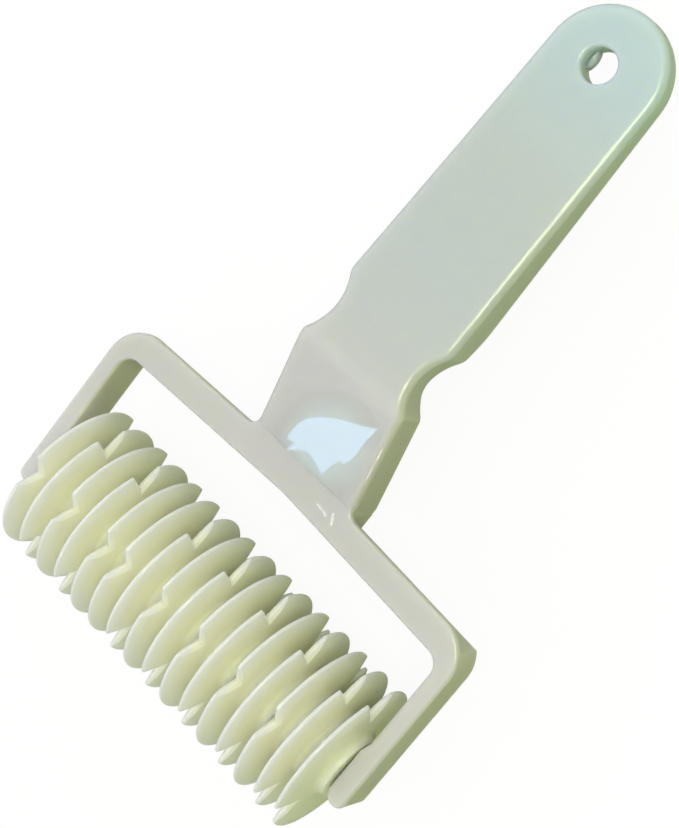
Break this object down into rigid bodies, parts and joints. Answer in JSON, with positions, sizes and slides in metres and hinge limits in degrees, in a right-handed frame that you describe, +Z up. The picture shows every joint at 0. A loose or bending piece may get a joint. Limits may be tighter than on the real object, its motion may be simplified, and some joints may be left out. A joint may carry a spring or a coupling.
{
  "type": "lattice roller cutter",
  "caption": "Hand-held pastry lattice cutter: a forked plastic handle with a hanging hole carries a spinning roller of thin notched cutting discs.",
  "frame": {"origin": "Middle of the footprint seen from above, at the height of the surface the discs roll on.", "axes": "+X runs along the roller's axle, +Y from the roller towards the handle's tip, +Z up, away from the dough."},
  "size_m": [0.1196, 0.1968, 0.0428],
  "materials": {
    "handle_plastic": "smooth gloss, off-white",
    "axle_plastic": "smooth, cream",
    "disc_plastic": "smooth, cream"
  },
  "bodies": {
    "frame": {"handle_frame": "handle_plastic"},
    "roller": {"axle": "axle_plastic", "disc_01": "disc_plastic", "disc_02": "disc_plastic", "disc_03": "disc_plastic", "disc_04": "disc_plastic", "disc_05": "disc_plastic", "disc_06": "disc_plastic", "disc_07": "disc_plastic", "disc_08": "disc_plastic", "disc_09": "disc_plastic", "disc_10": "disc_plastic", "disc_11": "disc_plastic", "disc_12": "disc_plastic", "disc_13": "disc_plastic", "disc_14": "disc_plastic", "disc_15": "disc_plastic", "disc_16": "disc_plastic"}
  },
  "joints": [
    {"name": "roller_spin", "type": "hinge", "parent": "frame", "child": "roller", "pos_m": [0, -0.077, 0.0214], "axis": [1, 0, 0], "continuous": true}
  ]
}
